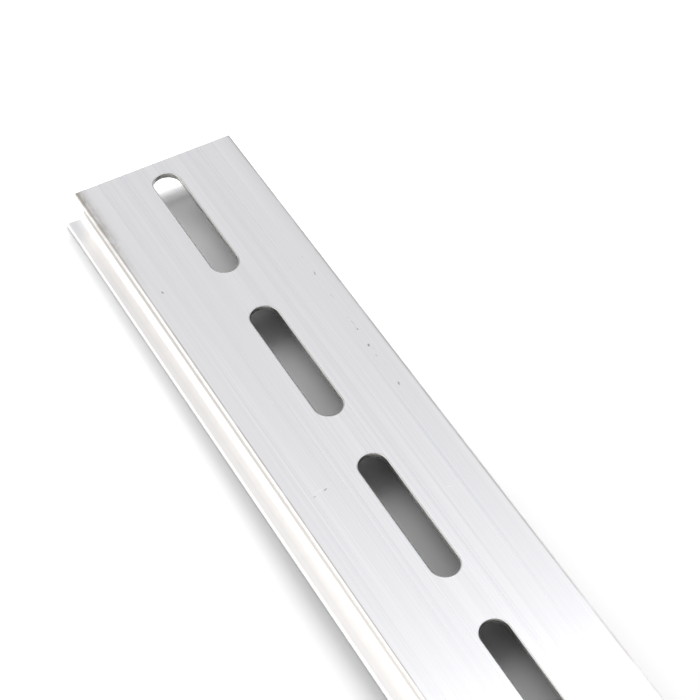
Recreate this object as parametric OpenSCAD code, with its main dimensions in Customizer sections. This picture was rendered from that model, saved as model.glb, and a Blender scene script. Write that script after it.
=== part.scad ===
// Top-hat DIN rail, 35 mm wide and 7.5 mm high: one piece of extruded aluminium stock.
// It lies on its two flanges with the base plate on top. The base plate overhangs both legs,
// and a row of obround fixing slots is punched through it along the centre line.
// X runs along the rail from the middle of its length, Y across it, and Z = 0 is the floor.

/* [Stock] */
// Length of the cut piece
rail_length = 250; // [70:1:2000]
// Height from the underside of the flanges to the outer face of the base plate
rail_height = 7.5; // [6:0.1:15]
// Width over the outer edges of the two flanges, which device feet clip onto
flange_span = 35; // [33:0.1:40]

/* [Base plate] */
// Width of the base plate
base_width = 30.8; // [29.5:0.1:33]
// Thickness of the base plate
base_thickness = 1; // [0.6:0.1:1.5]

/* [Legs and flanges] */
// Width over the outer faces of the two legs
leg_span = 28.2; // [20:0.1:29]
// Thickness of each leg
leg_thickness = 1; // [0.8:0.1:1.5]
// Thickness of each flange
flange_thickness = 0.8; // [0.6:0.1:1.2]

/* [Corners of the section] */
// Radius of the fillet between a leg's outer face and its flange
foot_fillet = 0.9; // [0.2:0.1:1.5]
// Radius of the fillets between the legs and the underside of the base plate
root_fillet = 0.4; // [0.1:0.1:0.8]
// Radius of the round under each leg, where its inner face turns into the flange
heel_round = 0.5; // [0.1:0.1:0.6]
// Radius of the rounds along the free edges of the base plate and the flanges
edge_round = 0.2; // [0.05:0.05:0.25]

/* [Fixing slots] */
// Length of a slot, end to end
slot_length = 26.4; // [8:0.1:30]
// Width of a slot
slot_width = 5; // [3:0.1:6.5]
// Distance from the start of one slot to the start of the next
slot_pitch = 36; // [34:0.5:60]
// Distance from the end of the rail at -X to the start of the first slot
slot_start = 3.3; // [1:0.1:30]
// Least metal left between the last slot and the other end of the rail
end_land = 2; // [1:0.5:30]

/* [Hidden] */
$fn = 64;
punch_clearance = 1;
slot_count = 1 + floor((rail_length - slot_start - slot_length - end_land) / slot_pitch);
leg_outer_y = leg_span / 2;
leg_inner_y = leg_outer_y - leg_thickness;
base_underside_z = rail_height - base_thickness;

// Flat bar, its lower left corner at the origin, with all four long edges rounded
module rounded_bar(width, thickness, radius) {
    translate([radius, 0]) square([width - 2 * radius, thickness]);
    translate([0, radius]) square([width, thickness - 2 * radius]);
    for (y = [radius, width - radius], z = [radius, thickness - radius])
        translate([y, z]) circle(radius);
}

// Web that fills the corner at the origin between the directions of dir_y and dir_z
module corner_web(radius, dir_y, dir_z) {
    flip_y = dir_y > 0 ? 0 : 1;
    flip_z = dir_z > 0 ? 0 : 1;
    mirror([flip_y, 0]) mirror([0, flip_z]) difference() {
        square(radius);
        translate([radius, radius]) circle(radius);
    }
}

// Section of one leg with its flange and its fillets, on the +Y side
module leg_section() {
    difference() {
        union() {
            translate([leg_inner_y, 0])
                square([leg_thickness, rail_height - base_thickness / 2]);
            translate([leg_inner_y, 0])
                rounded_bar(flange_span / 2 - leg_inner_y, flange_thickness, edge_round);
        }
        translate([leg_inner_y, 0]) corner_web(heel_round, 1, 1);
    }
    translate([leg_outer_y, flange_thickness]) corner_web(foot_fillet, 1, 1);
    translate([leg_outer_y, base_underside_z]) corner_web(root_fillet, 1, -1);
    translate([leg_inner_y, base_underside_z]) corner_web(root_fillet, -1, -1);
}

// Whole section of the extrusion, across the rail
module rail_section() {
    translate([-base_width / 2, base_underside_z])
        rounded_bar(base_width, base_thickness, edge_round);
    leg_section();
    mirror([1, 0]) leg_section();
}

// Obround punch that starts at the origin, runs along +X and passes right through the base plate
module slot_punch() {
    radius = slot_width / 2;
    depth = base_thickness + 2 * punch_clearance;
    for (x = [radius, slot_length - radius])
        translate([x, 0, 0]) cylinder(h = depth, r = radius);
    translate([radius, -radius, 0]) cube([slot_length - slot_width, slot_width, depth]);
}

// The rail: the extruded section, sawn to length and punched
module rail() {
    color("gainsboro") difference() {
        translate([-rail_length / 2, 0, 0])
            rotate([90, 0, 90]) linear_extrude(rail_length) rail_section();
        for (i = [0 : slot_count - 1])
            translate([
                slot_start + i * slot_pitch - rail_length / 2, 0,
                base_underside_z - punch_clearance
            ]) slot_punch();
    }
}

rail();
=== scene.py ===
import math

import bmesh
import bpy
import numpy as np
from mathutils import Matrix, Vector


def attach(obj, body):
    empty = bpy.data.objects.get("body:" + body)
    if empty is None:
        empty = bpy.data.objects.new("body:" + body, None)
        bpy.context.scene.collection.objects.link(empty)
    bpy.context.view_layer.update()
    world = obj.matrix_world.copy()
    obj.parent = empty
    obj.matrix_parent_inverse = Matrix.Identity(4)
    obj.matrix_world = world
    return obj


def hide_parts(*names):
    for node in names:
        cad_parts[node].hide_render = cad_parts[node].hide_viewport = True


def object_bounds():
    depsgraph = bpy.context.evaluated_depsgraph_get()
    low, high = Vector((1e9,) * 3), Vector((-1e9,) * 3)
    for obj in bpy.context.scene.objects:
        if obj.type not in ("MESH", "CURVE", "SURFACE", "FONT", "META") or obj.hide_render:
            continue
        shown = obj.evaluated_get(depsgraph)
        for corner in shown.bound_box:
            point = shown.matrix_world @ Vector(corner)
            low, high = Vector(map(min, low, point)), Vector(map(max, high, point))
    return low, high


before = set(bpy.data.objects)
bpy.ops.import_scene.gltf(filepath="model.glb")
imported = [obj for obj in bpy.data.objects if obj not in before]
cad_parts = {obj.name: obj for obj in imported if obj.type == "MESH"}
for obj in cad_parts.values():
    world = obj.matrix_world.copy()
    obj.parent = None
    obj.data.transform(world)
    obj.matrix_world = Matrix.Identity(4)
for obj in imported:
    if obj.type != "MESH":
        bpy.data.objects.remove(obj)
cad_low, cad_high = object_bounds()

MM = 0.001

# ---- The rail's sizes ------------------------------------------------------------------------
length = cad_high.x - cad_low.x
height = cad_high.z - cad_low.z
flange_span = cad_high.y - cad_low.y
base_width = 30.8 * MM
base_thickness = 1.0 * MM
leg_span = 28.2 * MM
leg_thickness = 1.0 * MM
flange_thickness = 0.8 * MM
foot_fillet = 0.9 * MM
root_fillet = 0.4 * MM
heel_round = 0.5 * MM
edge_round = 0.2 * MM
flange_round = 0.4 * MM       # round of a flange's upper edge
underside = height - base_thickness

slot_length = 26.4 * MM
slot_width = 5.0 * MM
slot_pitch = 36.0 * MM
slot_start = 3.3 * MM
slot_count = 7

# What the punch and the saw leave behind
rim_width = 0.18 * MM         # edge that the punch draws in round the top of a slot
rim_depth = 0.13 * MM         # how far that edge sinks
burnish_depth = 0.45 * MM     # depth at which the smooth part of the wall ends
breakout_flare = 0.06 * MM    # how far the torn part of the wall opens out below
burr_height = 0.04 * MM       # lip left round the slot on the underside
burr_crest = 0.02 * MM        # how far out its crest stands from the slot's wall
burr_width = 0.07 * MM        # how far out it ends
sawn_break = 0.06 * MM        # broken edge round each sawn end
flat_margin = 0.03 * MM       # strip kept flat beside each round, so that flat faces shade flat
crease_angle = 32             # degrees past which an edge shades as sharp

# How the finish lies, in millimetres
fine_line = (90, 0.16, 0.16)  # length, width and depth of the fine lines that the die draws
broad_band = (260, 1.6, 1.6)  # the same for broad bands of them
line_depth = 0.004            # how deep the lines are
score_places = (-13.1, -11.1, -10.4, -8.2, 7.6, 12.1)   # lines that stand out, from the middle
score_half_width = 0.16
tear_depth = 0.01             # relief of the torn part of a slot's wall
saw_centre = (0.0, -70.0, -90.0)   # centre of the saw blade, seen at the cut ends
saw_mark_gap = 0.22
saw_mark_depth = 0.02

# Marks on the back: where each starts and ends, from the end at -X and from the middle, its half
# width, and its colour (all in millimetres)
light_scratches = [
    ((78.4, -12.6), (77.4, -7.4), 0.16, "#FAFAFA"),
    ((86.6, 7.0), (87.4, 9.2), 0.14, "#FFFFFF"),
    ((58.2, -8.4), (59.2, -6.6), 0.14, "#FFFFFF"),
    ((38.0, 5.4), (39.0, 6.8), 0.16, "#E2E6EE"),
    ((15.4, -15.0), (14.6, -13.4), 0.18, "#FFFFFF"),
]
dark_specks = [
    ((28.2, -12.6), (28.9, -12.4), 0.22, "#8A847E"),
    ((78.3, -9.4), (78.0, -8.6), 0.16, "#8F8B88"),
    ((78.6, -11.4), (78.5, -10.9), 0.14, "#A7A4A2"),
    ((55.2, 12.2), (56.0, 12.0), 0.3, "#98948F"),
    ((64.6, 12.4), (65.6, 12.1), 0.24, "#A6A29D"),
]


# ---- Small helpers ---------------------------------------------------------------------------


def colour(hex_code):
    """Linear RGBA from an sRGB hex code."""
    channels = [int(hex_code[i:i + 2], 16) / 255 for i in (1, 3, 5)]
    return [c / 12.92 if c <= 0.04045 else ((c + 0.055) / 1.055) ** 2.4 for c in channels] + [1.0]


def add_node(tree, kind, inputs=None, **settings):
    """Adds a node, sets its properties, and sets or links its inputs by name or number."""
    node = tree.nodes.new(kind)
    for name, value in settings.items():
        setattr(node, name, value)
    for key, value in (inputs or {}).items():
        if isinstance(value, bpy.types.NodeSocket):
            tree.links.new(value, node.inputs[key])
        else:
            node.inputs[key].default_value = value
    return node


def arc(centre, radius, start_deg, end_deg, steps=6):
    """Points along an arc, both ends included."""
    angles = np.radians(np.linspace(start_deg, end_deg, steps + 1))
    return [(centre[0] + radius * math.cos(a), centre[1] + radius * math.sin(a)) for a in angles]


# ---- Finishes --------------------------------------------------------------------------------


def new_material(name):
    """An empty node material, with its tree and its output."""
    material = bpy.data.materials.new(name)
    material.use_nodes = True
    tree = material.node_tree
    tree.nodes.clear()
    return material, tree, add_node(tree, "ShaderNodeOutputMaterial")


def place_in_mm(tree):
    """Object coordinates in millimetres, whole and as X, Y and Z."""
    place = add_node(tree, "ShaderNodeTexCoord").outputs["Object"]
    scaled = add_node(tree, "ShaderNodeVectorMath", {
        0: place, 1: (1 / MM,) * 3}, operation="MULTIPLY").outputs[0]
    return scaled, *add_node(tree, "ShaderNodeSeparateXYZ", {0: scaled}).outputs[:3]


def calculate(tree, operation, *values):
    """A Math node on one, two or three values."""
    return add_node(tree, "ShaderNodeMath", dict(enumerate(values)), operation=operation).outputs[0]


def product(tree, first, *others):
    """All the values multiplied."""
    for other in others:
        first = calculate(tree, "MULTIPLY", first, other)
    return first


def total(tree, first, *others):
    """All the values added."""
    for other in others:
        first = calculate(tree, "ADD", first, other)
    return first


def ramp(tree, value, start, end, low, high):
    """Goes evenly from low to high as the value goes from start to end."""
    return add_node(tree, "ShaderNodeMapRange", {
        "Value": value, "From Min": start, "From Max": end, "To Min": low, "To Max": high}).outputs[0]


def fade(tree, value, start, end, low=0.0, high=1.0):
    """Goes smoothly from low to high as the value goes from start to end."""
    return add_node(tree, "ShaderNodeMapRange", {
        "Value": value, "From Min": start, "From Max": end, "To Min": low, "To Max": high},
        interpolation_type="SMOOTHSTEP").outputs[0]


def strip(tree, value, middle, half_width):
    """1 at the middle of a narrow strip, 0 outside it."""
    aside = calculate(tree, "ABSOLUTE", calculate(tree, "SUBTRACT", value, middle))
    return fade(tree, aside, half_width, 0.0)


def noise(tree, place, grain, detail=2.0, shift=0.0):
    """Noise with its own grain in millimetres along X, Y and Z. shift gives another part of it."""
    stretched = add_node(tree, "ShaderNodeMapping", {
        "Vector": place, "Location": (shift,) * 3, "Scale": [1 / g for g in grain]}).outputs[0]
    return add_node(tree, "ShaderNodeTexNoise", {
        "Vector": stretched, "Scale": 1.0, "Detail": detail}).outputs["Fac"]


def mix(tree, amount, first, second):
    """A value between two values, by amount."""
    return add_node(tree, "ShaderNodeMix", {"Factor": amount, "A": first, "B": second}).outputs[0]


def mix_colours(tree, amount, first, second):
    """A colour between two colours, by amount."""
    return add_node(tree, "ShaderNodeMixRGB", {
        "Fac": amount, "Color1": first, "Color2": second}).outputs[0]


def mix_shaders(tree, amount, first, second):
    """A shader between two shaders, by amount."""
    return add_node(tree, "ShaderNodeMixShader", {0: amount, 1: first, 2: second}).outputs[0]


def stain(tree, under, hex_code, amount):
    """Lays a colour over another colour or tone, by amount."""
    return mix_colours(tree, amount, under, colour(hex_code))


def bare_metal(tree, output, tone, roughness, relief, strength, depth, brushing=None):
    """Finishes a metal: its tone and roughness, and fine relief as deep as depth in millimetres."""
    bump = add_node(tree, "ShaderNodeBump", {
        "Height": relief, "Strength": strength, "Distance": depth * MM}).outputs[0]
    shader = add_node(tree, "ShaderNodeBsdfPrincipled", {
        "Base Color": tone, "Metallic": 1.0, "Roughness": roughness, "Normal": bump, **(brushing or {})})
    tree.links.new(shader.outputs[0], output.inputs["Surface"])


def die_scores(tree, place, y):
    """The few lines that stand out on the back, clear here and faint there."""
    lines = [strip(tree, y, middle, score_half_width) for middle in score_places]
    patchy = fade(tree, noise(tree, place, (60, 9, 9), 2, 2.0), 0.42, 0.62)
    return product(tree, total(tree, *lines), patchy)


def scratch(tree, x, y, start, end, half_width):
    """1 along a straight scratch on the back between two points, fading at its ends."""
    run = Vector(end) - Vector(start)
    way = run.normalized()
    from_x = calculate(tree, "SUBTRACT", x, start[0])
    from_y = calculate(tree, "SUBTRACT", y, start[1])
    along = total(tree, product(tree, from_x, way.x), product(tree, from_y, way.y))
    aside = calculate(tree, "SUBTRACT", product(tree, from_x, way.y), product(tree, from_y, way.x))
    within = strip(tree, along, run.length / 2, run.length * 0.6)
    return product(tree, strip(tree, aside, 0.0, half_width), within)


def handling_marks(tree, tone, place, x, y, back):
    """Scratches and specks of dirt that the back has picked up. x counts from the end at -X."""
    broken = fade(tree, noise(tree, place, (0.5, 0.5, 0.5), 3, 6.0), 0.4, 0.6)
    for start, end, half_width, hex_code in light_scratches:
        mark = product(tree, scratch(tree, x, y, start, end, half_width), back, broken)
        tone = stain(tree, tone, hex_code, mark)
    for start, end, half_width, hex_code in dark_specks:
        mark = product(tree, scratch(tree, x, y, start, end, half_width), back)
        tone = stain(tree, tone, hex_code, mark)
    beside_score = product(tree, strip(tree, y, 12.2, 0.5), strip(tree, x, 48, 26))
    dusty = fade(tree, noise(tree, place, (1.3, 0.5, 0.5), 4, 3.0), 0.6, 0.7)
    return stain(tree, tone, "#A5A19B", product(tree, beside_score, dusty, back))


def drawn_tone(tree, fine, broad, scores):
    """Silvery tone of drawn metal, a little lighter or bluer from line to line."""
    tone = stain(tree, colour("#EDEDEE"), "#F1F1F2", fade(tree, broad, 0.35, 0.65))
    tone = stain(tree, tone, "#FAFAFA", product(tree, fade(tree, fine, 0.48, 0.7), 0.4))
    tone = stain(tree, tone, "#DEE2EC", product(tree, fade(tree, fine, 0.47, 0.25), 0.35))
    return stain(tree, tone, "#FAFAFA", product(tree, scores, 0.6))


def edge_shade_and_grime(tree, tone, place, y, from_end, from_edge, back):
    """Painted shade as a darker line along the back's edges, and a smudge of grime at -Y beside the end at
    -X.
    """
    uneven = fade(tree, noise(tree, place, (5, 5, 5), 3), 0.25, 0.6, 0.25, 0.8)
    # Painted shade: a darker line along the rounded edges, standing for the darker surroundings they
    # mirror
    edge_line = product(tree, strip(tree, from_edge, 0.3, 0.26), back, uneven)
    tone = stain(tree, tone, "#BDB8B1", edge_line)
    beside_end = product(
        tree, fade(tree, from_end, 30, 4), fade(tree, from_edge, 2.6, 0.2), fade(tree, y, 0.0, -1.0))
    blotchy = fade(tree, noise(tree, place, (1.8, 1.0, 1.0), 6, 1.0), 0.3, 0.7, 0.4, 0.9)
    return stain(tree, tone, "#ABA69E", product(tree, beside_end, blotchy, back))


def side_painted_shade_and_highlight(tree, tone, z, from_edge, back):
    """Painted shade and highlight below the back, outside the legs: painted shade on the leg and the
    overhang, a painted highlight at the foot.
    """
    leg_face = (base_width - leg_span) / 2 / MM
    foot_top = (flange_thickness + foot_fillet) / MM
    below_back = calculate(tree, "SUBTRACT", 1.0, back)
    outside_leg = product(tree, fade(tree, from_edge, leg_face + 0.3, leg_face + 0.1), below_back)
    leg_painted_shade = product(tree, outside_leg, fade(tree, from_edge, leg_face - 0.35, leg_face - 0.15))
    overhang_painted_shade = product(tree, fade(tree, from_edge, 0.2, 0.4), fade(tree, z, 4.2, 5.6))
    foot_painted_highlight = product(
        tree, fade(tree, z, foot_top + 0.2, foot_top - 0.2), fade(tree, from_edge, -0.9, 0.3), outside_leg)
    # Painted shade on the leg, deepening up towards the overhang, with a darker band of it
    tone = stain(tree, tone, "#D5D2CD", product(
        tree, leg_painted_shade, fade(tree, z, foot_top - 0.2, foot_top + 1.2)))
    tone = stain(tree, tone, "#BEBAB5", product(tree, leg_painted_shade, strip(tree, z, foot_top + 0.9, 2.2)))
    # Painted shade under the overhang
    tone = stain(tree, tone, "#ECEAE8", product(tree, outside_leg, overhang_painted_shade))
    # Painted highlight in the foot's inner radius
    return stain(tree, tone, "#FFFFFF", foot_painted_highlight)


def mill_finish_aluminium():
    """Extruded 6063, as it leaves the die: silvery and satin, drawn into fine lines along its length.

    A darker line of painted shade runs along the back's edges, and grime smudges them beside the end at
    -X.
    Painted shade darkens the leg and the overhang's underside, and a painted highlight lightens the foot's
    inner radius."""
    material, tree, output = new_material("mill_finish_aluminium")
    place, x, y, z = place_in_mm(tree)
    fine = noise(tree, place, fine_line, 3, 4.0)
    broad = noise(tree, place, broad_band, 3, 9.0)
    scores = die_scores(tree, place, y)
    back = fade(tree, z, height / MM - 0.3, height / MM - 0.1)
    from_end = total(tree, x, length / MM / 2)
    from_edge = calculate(tree, "SUBTRACT", base_width / MM / 2, calculate(tree, "ABSOLUTE", y))
    tone = drawn_tone(tree, fine, broad, scores)
    tone = edge_shade_and_grime(tree, tone, place, y, from_end, from_edge, back)
    tone = handling_marks(tree, tone, place, from_end, y, back)
    tone = side_painted_shade_and_highlight(tree, tone, z, from_edge, back)
    roughness = fade(tree, fine, 0.25, 0.75, 0.27, 0.34)
    grooves = total(tree, fine, product(tree, scores, 0.2))
    along = add_node(tree, "ShaderNodeTangent", direction_type="RADIAL", axis="X").outputs[0]
    bare_metal(tree, output, tone, roughness, grooves, 0.2, line_depth,
               brushing={"Anisotropic": 0.9, "Tangent": along})
    return material


def sheared_aluminium():
    """Wall of a punched slot: smooth where the punch slid past, torn and duller below."""
    material, tree, output = new_material("sheared_aluminium")
    place, _, _, z = place_in_mm(tree)
    drag = noise(tree, place, (0.5, 0.5, 6), 2)
    tear = noise(tree, place, (0.6, 0.6, 0.3), 3)
    tear_top = (height - burnish_depth) / MM
    level = total(tree, z, product(tree, tear, 0.12))
    torn = fade(tree, level, tear_top + 0.14, tear_top + 0.02)
    tone = mix_colours(tree, drag, colour("#B4B4B2"), colour("#BCBCBA"))
    tone = stain(tree, tone, "#A8A7A5", product(tree, torn, fade(tree, tear, 0.3, 0.7)))
    relief = mix(tree, torn, drag, tear)
    roughness = fade(tree, torn, 0, 1, 0.25, 0.4)
    bare_metal(tree, output, tone, roughness, relief, 0.2, tear_depth)
    return material


def sawn_aluminium():
    """Cut end: bright metal with the saw's fine curved marks."""
    material, tree, output = new_material("sawn_aluminium")
    _, _, y, z = place_in_mm(tree)
    on_end = add_node(tree, "ShaderNodeCombineXYZ", {"Y": y, "Z": z}).outputs[0]
    reach = add_node(tree, "ShaderNodeVectorMath", {
        0: on_end, 1: saw_centre}, operation="DISTANCE").outputs["Value"]
    marks = add_node(tree, "ShaderNodeTexNoise", {
        "W": product(tree, reach, 1 / saw_mark_gap), "Scale": 1.0, "Detail": 3.0},
        noise_dimensions="1D").outputs["Fac"]
    tone = mix_colours(tree, fade(tree, marks, 0.3, 0.7), colour("#DCDCDC"), colour("#F4F4F4"))
    roughness = fade(tree, marks, 0.3, 0.7, 0.26, 0.42)
    bare_metal(tree, output, tone, roughness, marks, 0.5, saw_mark_depth)
    return material


mill = mill_finish_aluminium()
sawn = sawn_aluminium()
sheared = sheared_aluminium()
finishes = [mill, sawn, sheared]


# ---- The rail --------------------------------------------------------------------------------


def half_section():
    """The +Y half of the section's outline, from the middle of its back round to its underside."""
    half_base, half_span = base_width / 2, flange_span / 2
    leg_outer = leg_span / 2
    leg_inner = leg_outer - leg_thickness
    rounds = [
        arc((half_base - edge_round, height - edge_round), edge_round, 90, 0, 8),
        arc((half_base - edge_round, underside + edge_round), edge_round, 0, -90, 8),
        arc((leg_outer + root_fillet, underside - root_fillet), root_fillet, 90, 180),
        arc((leg_outer + foot_fillet, flange_thickness + foot_fillet), foot_fillet, 180, 270, 10),
        arc((half_span - flange_round, flange_thickness - flange_round), flange_round, 90, 0, 8),
        arc((half_span - edge_round, edge_round), edge_round, 0, -90),
        arc((leg_inner + heel_round, heel_round), heel_round, 270, 180, 8),
        arc((leg_inner - root_fillet, underside - root_fillet), root_fillet, 0, 90),
    ]
    corners = [[Vector(p) for p in points] for points in rounds]
    befores = [Vector((0, height))] + [c[-1] for c in corners[:-1]]
    afters = [c[0] for c in corners[1:]] + [Vector((0, underside))]
    outline = []
    for corner, before, after in zip(corners, befores, afters):
        outline.append(corner[0] + (before - corner[0]).normalized() * flat_margin)
        outline += corner
        outline.append(corner[-1] + (after - corner[-1]).normalized() * flat_margin)
    return outline


def sweep_section(bm):
    """Runs the section along the rail, with its sawn ends. The two punched flats stay open."""
    right = half_section()
    outline = right + [Vector((-p.x, p.y)) for p in reversed(right)]
    count = len(outline)
    tangents = [(outline[(i + 1) % count] - outline[i - 1]).normalized() for i in range(count)]
    inward = [Vector((t.y, -t.x)) for t in tangents]
    half = length / 2
    rings = []
    stations = ((-half, sawn_break), (-half + sawn_break, 0), (half - sawn_break, 0), (half, sawn_break))
    for x, inset in stations:
        rings.append([bm.verts.new((x, p.x + n.x * inset, p.y + n.y * inset))
                      for p, n in zip(outline, inward)])
    punched_gaps = (len(right) - 1, count - 1)
    for near, far in zip(rings, rings[1:]):
        for i in range(count):
            if near is rings[1] and i in punched_gaps:
                continue
            j = (i + 1) % count
            bm.faces.new((near[i], far[i], far[j], near[j]))
    for ring in (rings[0], rings[-1]):
        bm.faces.new(ring).material_index = finishes.index(sawn)


def obround(offset, steps=20):
    """Outline of a slot that starts at x = 0, grown by offset, counterclockwise from above."""
    radius = slot_width / 2
    far_end = arc((slot_length - radius, 0), radius + offset, -90, 90, steps)
    near_end = arc((radius, 0), radius + offset, 90, 270, steps)
    return far_end + near_end


def slot_wall():
    """Lining of one punched slot: drawn-in rim, burnished wall, tear and burr, from the top down."""
    rows = [(rim_width + flat_margin, height)]
    rows += [(rim_width * (1 - math.sin(a)), height - rim_depth * (1 - math.cos(a)))
             for a in np.linspace(0, math.pi / 2, 6)]
    rows += [
        (0, height - burnish_depth),
        (breakout_flare * 0.7, height - burnish_depth - 0.1 * MM),
        (breakout_flare, underside + 0.02 * MM),
        (breakout_flare + burr_crest, underside - burr_height),
        (breakout_flare + burr_width, underside),
        (breakout_flare + burr_width + flat_margin, underside),
    ]
    mesh = bpy.data.meshes.new("slot_wall")
    bm = bmesh.new()
    rings = []
    for offset, z in rows:
        rings.append([bm.verts.new((x, y, z)) for x, y in obround(offset)])
    for upper, lower in zip(rings, rings[1:]):
        for i in range(len(upper)):
            j = (i + 1) % len(upper)
            bm.faces.new((upper[i], upper[j], lower[j], lower[i]))
    bm.to_mesh(mesh)
    bm.free()
    return mesh


def punch_row_tree():
    """Geometry Nodes: repeats what it is given along the rail, one copy for each slot."""
    tree = bpy.data.node_groups.new("punch_row", "GeometryNodeTree")
    for name, kind in (("Wall", "Geometry"), ("Count", "Int"), ("First", "Float"),
                       ("Pitch", "Float"), ("Finish", "Material")):
        tree.interface.new_socket(name, in_out="INPUT", socket_type="NodeSocket" + kind)
    tree.interface.new_socket("Walls", in_out="OUTPUT", socket_type="NodeSocketGeometry")
    given = add_node(tree, "NodeGroupInput").outputs
    start = add_node(tree, "ShaderNodeCombineXYZ", {"X": given["First"]}).outputs[0]
    step = add_node(tree, "ShaderNodeCombineXYZ", {"X": given["Pitch"]}).outputs[0]
    spots = add_node(tree, "GeometryNodeMeshLine", {
        "Count": given["Count"], "Start Location": start, "Offset": step}).outputs[0]
    copies = add_node(tree, "GeometryNodeInstanceOnPoints", {
        "Points": spots, "Instance": given["Wall"]}).outputs[0]
    real = add_node(tree, "GeometryNodeRealizeInstances", {0: copies}).outputs[0]
    finished = add_node(tree, "GeometryNodeSetMaterial", {
        "Geometry": real, "Material": given["Finish"]}).outputs[0]
    add_node(tree, "NodeGroupOutput", {"Walls": finished})
    return tree


def punched_walls():
    """Plain mesh of the linings of all the slots, in their places along the rail."""
    maker = bpy.data.objects.new("slot_walls_maker", slot_wall())
    bpy.context.scene.collection.objects.link(maker)
    tree = punch_row_tree()
    modifier = maker.modifiers.new("punch_row", "NODES")
    modifier.node_group = tree
    sizes = {"Count": slot_count, "First": slot_start - length / 2, "Pitch": slot_pitch,
             "Finish": sheared}
    for item in tree.interface.items_tree:
        if item.name in sizes:
            modifier[item.identifier] = sizes[item.name]
    depsgraph = bpy.context.evaluated_depsgraph_get()
    mesh = bpy.data.meshes.new_from_object(maker.evaluated_get(depsgraph))
    maker.modifiers.remove(modifier)
    bpy.data.objects.remove(maker)
    return mesh


def make_rail():
    """The whole rail as one closed mesh: swept section, slot walls, and the flats between them."""
    mesh = bpy.data.meshes.new("punched_rail")
    bm = bmesh.new()
    sweep_section(bm)
    walls_from = len(bm.faces)
    bm.from_mesh(punched_walls())
    bm.faces.ensure_lookup_table()
    for face in bm.faces[walls_from:]:
        face.material_index = finishes.index(sheared)
    for level in (height, underside):
        gap = [e for e in bm.edges if e.is_boundary and all(abs(v.co.z - level) < 1e-7 for v in e.verts)]
        bmesh.ops.triangle_fill(bm, edges=gap, use_beauty=True, normal=(0, 0, 1))
    bmesh.ops.recalc_face_normals(bm, faces=bm.faces)
    for face in bm.faces:
        face.smooth = True
    bm.to_mesh(mesh)
    bm.free()
    mesh.set_sharp_from_angle(angle=math.radians(crease_angle))
    for finish in finishes:
        mesh.materials.append(finish)
    rail = bpy.data.objects.new("punched_rail", mesh)
    bpy.context.scene.collection.objects.link(rail)
    return rail


rail = make_rail()
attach(rail, "root")
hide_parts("rail")


# ---- Floor, light and camera -----------------------------------------------------------------

# Directions are from the rail. Brightness is 1 where a white thing looks just white.
floor_lift_far, floor_lift_near = 1.6, 1.12    # how light the floor is, at the end at -X and nearer: painted lighter towards -X, a painted fall-off of light
floor_beside_painted_shade = 0.9                        # share of that on the +Y side: painted shade
floor_mouth_painted_shade = 0.6                         # share of that just inside the channel's end at -X: painted shade
ambient_low, ambient_high = 0.2, 0.44          # light from all round: least, and where it is most
ambient_from = (-0.35, -0.12, 0.93)            # direction where it is most
wall_level, ceiling_level = 0.71, 1.2          # walls, and the ceiling near the lamps, as gloss sees them
ceiling_patch = (-0.25, 0.42, 0.87)            # direction of that part of the ceiling
window_far, window_near = 1.3, 2.2             # bright window beside the rail, as gloss sees it
window_side = (-0.55, -0.7, 0.45)              # direction of the window


def mirrored_to_eye(tree, path):
    """1 where metal mirrors the studio to the eye, 0 where it only passes light on to the floor."""
    undiffused = calculate(tree, "LESS_THAN", path["Diffuse Depth"], 0.5)
    return product(tree, path["Is Glossy Ray"], undiffused)


def floor_lightness(tree, along, across):
    """How light the floor is: painted lighter towards the end at -X, with painted shade on the +Y side and
    darkest just inside the channel there.
    """
    lift = ramp(tree, along, cad_low.x, cad_low.x + 90 * MM, floor_lift_far, floor_lift_near)
    # Painted shade on the floor on the +Y side of the rail
    beside = fade(tree, across, 8 * MM, 20 * MM, 1.0, floor_beside_painted_shade)
    # Painted shade on the floor just inside the channel's end at -X
    under_base = fade(tree, calculate(tree, "ABSOLUTE", across), 14 * MM, 11 * MM)
    mouth_painted_shade = product(tree, under_base, strip(tree, along, cad_low.x + 2.4 * MM, 4 * MM))
    return product(tree, lift, beside, fade(tree, mouth_painted_shade, 0.0, 1.0, 1.0, floor_mouth_painted_shade))


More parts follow.
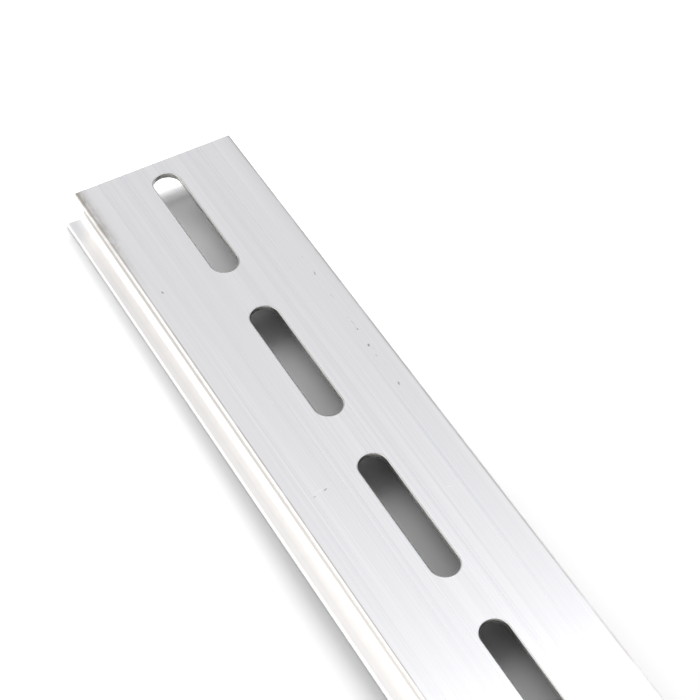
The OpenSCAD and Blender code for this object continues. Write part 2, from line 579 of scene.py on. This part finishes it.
def make_floor():
    """A pale floor that keeps the rail's shadow, with painted light and shade near the rail, and turns to
    plain white far from it.

    What the eye sees, what metal mirrors and what passes light on each have their own lightness."""
    bpy.ops.mesh.primitive_plane_add(size=6)
    floor = bpy.context.object
    floor.name = "floor"
    material, tree, output = new_material("white_studio_floor")
    place = add_node(tree, "ShaderNodeTexCoord").outputs["Object"]
    along, across = add_node(tree, "ShaderNodeSeparateXYZ", {0: place}).outputs[:2]
    distance = add_node(tree, "ShaderNodeVectorMath", {0: place}, operation="LENGTH").outputs["Value"]

    lift = floor_lightness(tree, along, across)
    grey = add_node(tree, "ShaderNodeCombineXYZ", {0: lift, 1: lift, 2: lift}).outputs[0]
    seen = add_node(tree, "ShaderNodeBsdfDiffuse", {"Color": grey}).outputs[0]
    white = add_node(tree, "ShaderNodeEmission").outputs[0]
    seen = mix_shaders(tree, fade(tree, distance, 0.2, 0.45), seen, white)

    # Painted shade: for light it passes on, the floor is dark grey as if all in the rail's shade, and pale
    # beyond the end at -X
    beyond_end = fade(tree, along, cad_low.x, cad_low.x - 5 * MM)
    shaded = stain(tree, colour("#484848"), "#E8E8E8", beyond_end)
    passing_light = add_node(tree, "ShaderNodeBsdfDiffuse", {"Color": shaded}).outputs[0]
    in_metal = add_node(tree, "ShaderNodeBsdfDiffuse", {"Color": (1.4, 1.38, 1.34, 1.0)}).outputs[0]

    path = add_node(tree, "ShaderNodeLightPath").outputs
    unseen = mix_shaders(tree, mirrored_to_eye(tree, path), passing_light, in_metal)
    surface = mix_shaders(tree, path["Is Camera Ray"], unseen, seen)
    tree.links.new(surface, output.inputs["Surface"])
    floor.data.materials.append(material)


def closeness(tree, direction, aim):
    """1 straight towards the aim, 0 at right angles to it."""
    return add_node(tree, "ShaderNodeVectorMath", {
        0: direction, 1: Vector(aim).normalized()}, operation="DOT_PRODUCT").outputs["Value"]


def make_world():
    """White studio. Gloss sees walls, a lighter part of the ceiling and a window brighter than white.

    The floor is lit by none of these, but by a weaker light from all round."""
    world = bpy.data.worlds.new("studio")
    world.use_nodes = True
    tree = world.node_tree
    tree.nodes.clear()
    direction = add_node(tree, "ShaderNodeTexCoord").outputs["Generated"]
    turned = add_node(tree, "ShaderNodeSeparateXYZ", {0: direction}).outputs["X"]
    ceiling = closeness(tree, direction, ceiling_patch)
    walls = fade(tree, ceiling, 0.95, 0.99, wall_level, ceiling_level)
    window = fade(tree, closeness(tree, direction, window_side), 0.5, 0.85)
    window_light = ramp(tree, turned, -0.62, -0.42, window_far, window_near)
    upward = closeness(tree, direction, ambient_from)
    ambient = ramp(tree, upward, 0.2, 1.0, ambient_low, ambient_high)

    path = add_node(tree, "ShaderNodeLightPath").outputs
    in_metal = mirrored_to_eye(tree, path)
    lit = mix(tree, in_metal, ambient, mix(tree, window, walls, window_light))
    tint = stain(tree, colour("#FBFBFE"), "#FFFEFD", window)
    studio = add_node(tree, "ShaderNodeBackground", {
        "Color": mix_colours(tree, in_metal, colour("#FFFFFF"), tint),
        "Strength": mix(tree, path["Is Camera Ray"], lit, 1.0)}).outputs[0]
    add_node(tree, "ShaderNodeOutputWorld", {"Surface": studio})
    bpy.context.scene.world = world


def add_softbox(name, centre, size, radiance, tint=(1, 1, 1), aimed=True, in_gloss=True):
    """A soft lamp that faces the rail, or else straight down. radiance is how bright its face is."""
    lamp = bpy.data.lights.new(name, "AREA")
    lamp.shape = "RECTANGLE"
    lamp.size, lamp.size_y = size
    lamp.energy = radiance * math.pi * size[0] * size[1]
    lamp.color = tint
    softbox = bpy.data.objects.new(name, lamp)
    softbox.location = centre
    if aimed:
        softbox.rotation_euler = (-softbox.location).to_track_quat("-Z", "Y").to_euler()
    softbox.visible_glossy = in_gloss
    bpy.context.scene.collection.objects.link(softbox)


def place_camera():
    """Looks down on the rail from beside its middle towards the end at -X."""
    aim = Vector((cad_low.x + 55.03 * MM, 8.85 * MM, height))
    azimuth, elevation, roll = (math.radians(angle) for angle in (-31.43, 49.42, 1.82))
    distance = 359.8 * MM
    toward = Vector((math.cos(elevation) * math.cos(azimuth),
                     math.cos(elevation) * math.sin(azimuth), math.sin(elevation)))
    camera = bpy.data.objects.new("camera", bpy.data.cameras.new("camera"))
    camera.data.sensor_width = 36
    camera.data.lens = 111.58
    turn = (-toward).to_track_quat("-Z", "Y").to_matrix() @ Matrix.Rotation(roll, 3, "Z")
    camera.matrix_world = Matrix.Translation(aim + toward * distance) @ turn.to_4x4()
    bpy.context.scene.collection.objects.link(camera)
    bpy.context.scene.camera = camera


make_floor()
make_world()
# The strip is what the back mirrors. The key lights the floor from +Y, and the fill from -X and -Y.
add_softbox("strip_softbox", centre=(-0.303, 0.56, 1.1), size=(0.3, 0.9), radiance=2.05,
            tint=(0.965, 0.97, 1.0), aimed=False)
add_softbox("key_softbox", centre=(-0.3, 0.68, 1.0), size=(0.7, 0.7), radiance=6.2, in_gloss=False)
add_softbox("fill_softbox", centre=(-0.75, -0.3, 0.95), size=(1.0, 0.8), radiance=1.5, in_gloss=False)
place_camera()
bpy.context.scene.view_settings.view_transform = "Standard"
